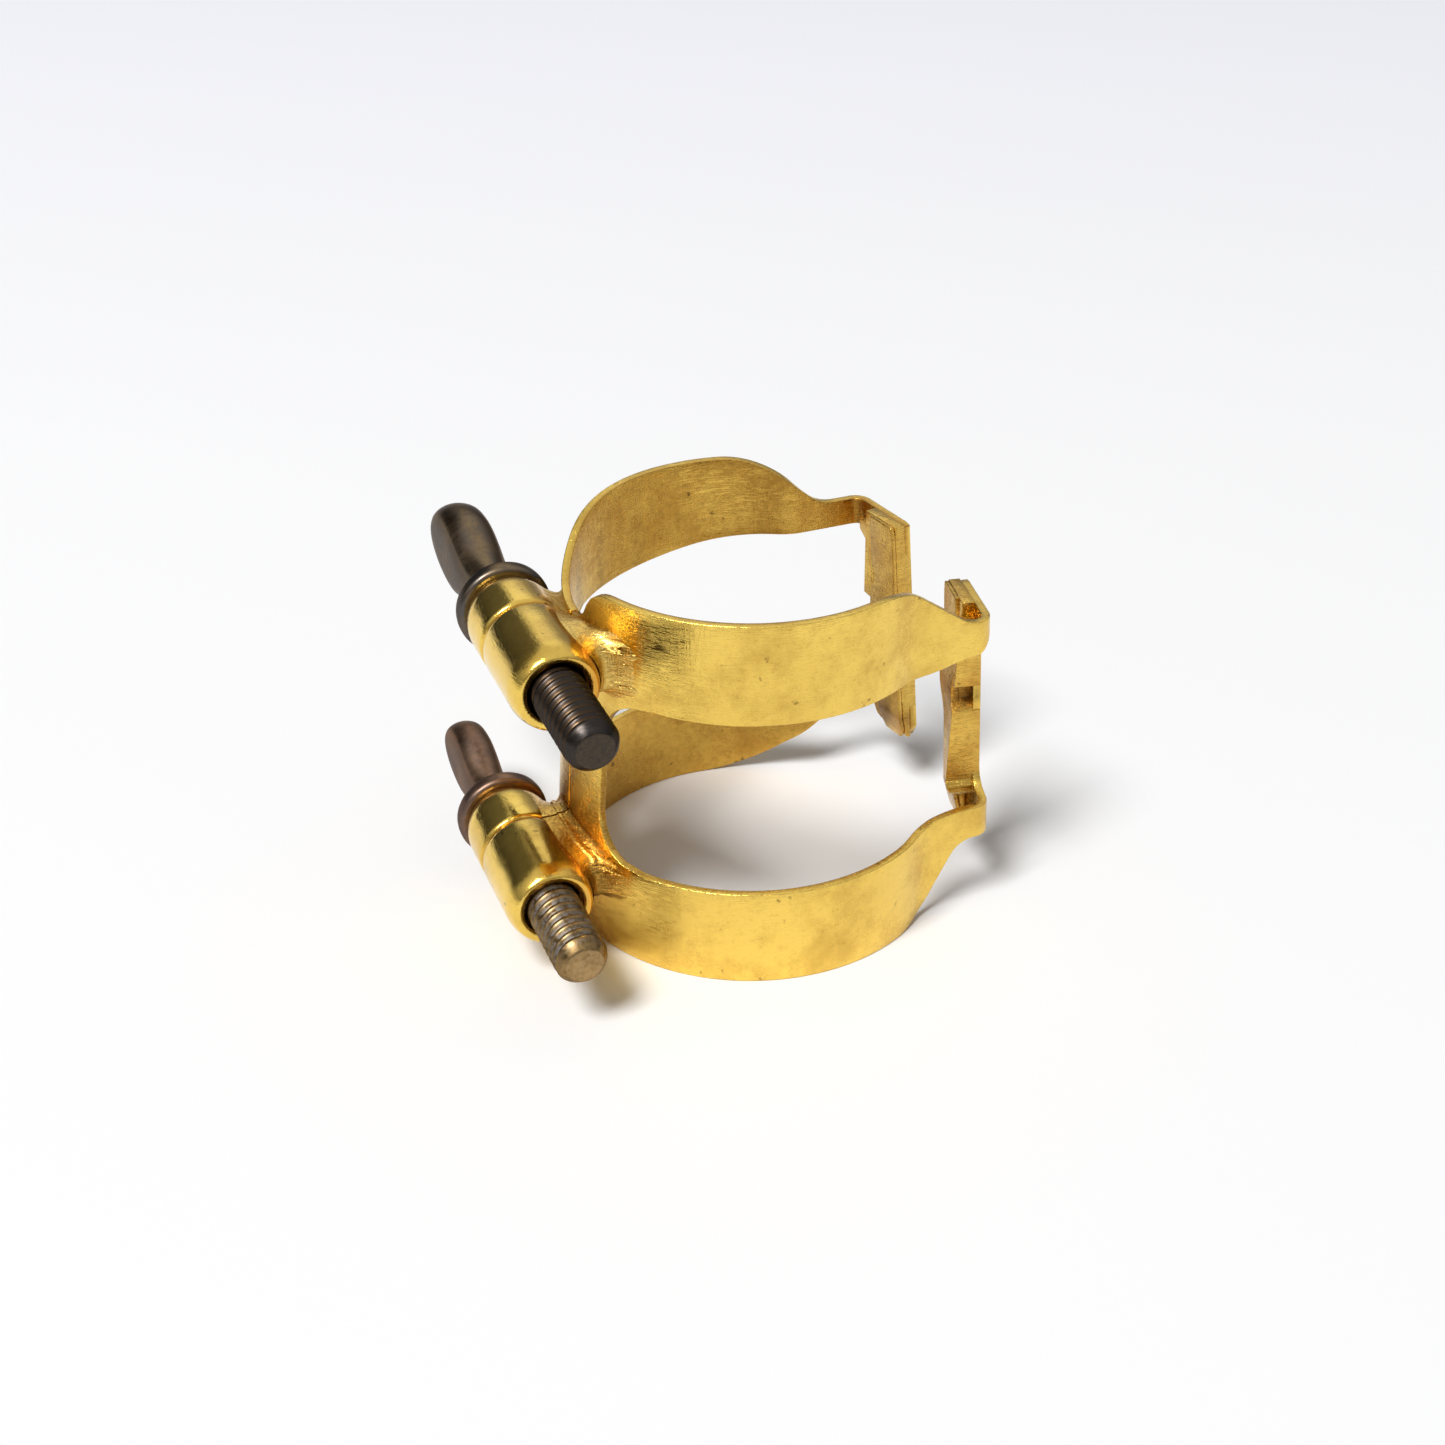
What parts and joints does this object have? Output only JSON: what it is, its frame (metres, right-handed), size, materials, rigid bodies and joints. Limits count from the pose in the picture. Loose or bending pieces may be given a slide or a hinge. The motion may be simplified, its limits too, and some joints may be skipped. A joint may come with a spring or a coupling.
{
  "type": "saxophone ligature",
  "caption": "Split brass ligature that clamps a reed to a saxophone mouthpiece with thumb screws at the back and rails at the front.",
  "frame": {"origin": "on the mouthpiece axis, in the plane of the large lower rim", "axes": "+Z along the mouthpiece axis towards its tip and the small upper rim; +X from the screws to the reed rails; +Y from the half with the threaded barrels to the half with the screw heads"},
  "size_m": [0.0347, 0.0326, 0.0262],
  "materials": {
    "sheet_gold": "satin gold-coloured sheet, finely scratched, tarnished orange inside",
    "barrel_gold": "polished, worn",
    "rail_gold": "satin, tarnished in the corners",
    "solder": "smooth, tarnished orange",
    "dark_bronze": "dark brown patina, rubbed on the high spots",
    "red_bronze": "copper-brown patina, worn brassy on the thread"
  },
  "bodies": {
    "near_half": {"near_body_half": "sheet_gold", "upper_threaded_barrel": "barrel_gold", "lower_threaded_barrel": "barrel_gold", "near_rail_block": "rail_gold", "near_contact_plate": "rail_gold", "upper_near_solder": "solder", "lower_near_solder": "solder"},
    "far_half": {"far_body_half": "sheet_gold", "upper_plain_barrel": "barrel_gold", "lower_plain_barrel": "barrel_gold", "far_rail_block": "rail_gold", "far_contact_plate": "rail_gold", "upper_far_solder": "solder", "lower_far_solder": "solder"},
    "upper_screw": {"upper_thumb_screw": "dark_bronze"},
    "lower_screw": {"lower_thumb_screw": "red_bronze"}
  },
  "joints": [
    {"name": "far_half_slide", "type": "slide", "parent": "near_half", "child": "far_half", "axis": [0, 1, 0], "range_m": [0, 0.006]},
    {"name": "upper_screw_turn", "type": "hinge", "parent": "far_half", "child": "upper_screw", "pos_m": [-0.01534, 0.0022, 0.02147], "axis": [0, 1, 0], "range_deg": [0, 2880]},
    {"name": "lower_screw_turn", "type": "hinge", "parent": "far_half", "child": "lower_screw", "pos_m": [-0.01646, 0.0022, 0.00539], "axis": [0, 1, 0], "range_deg": [0, 2880]}
  ],
  "couplings": [
    {"joint": "upper_screw_turn", "follows": "far_half_slide", "rad_per_m": 8377.6},
    {"joint": "lower_screw_turn", "follows": "far_half_slide", "rad_per_m": 8377.6}
  ]
}
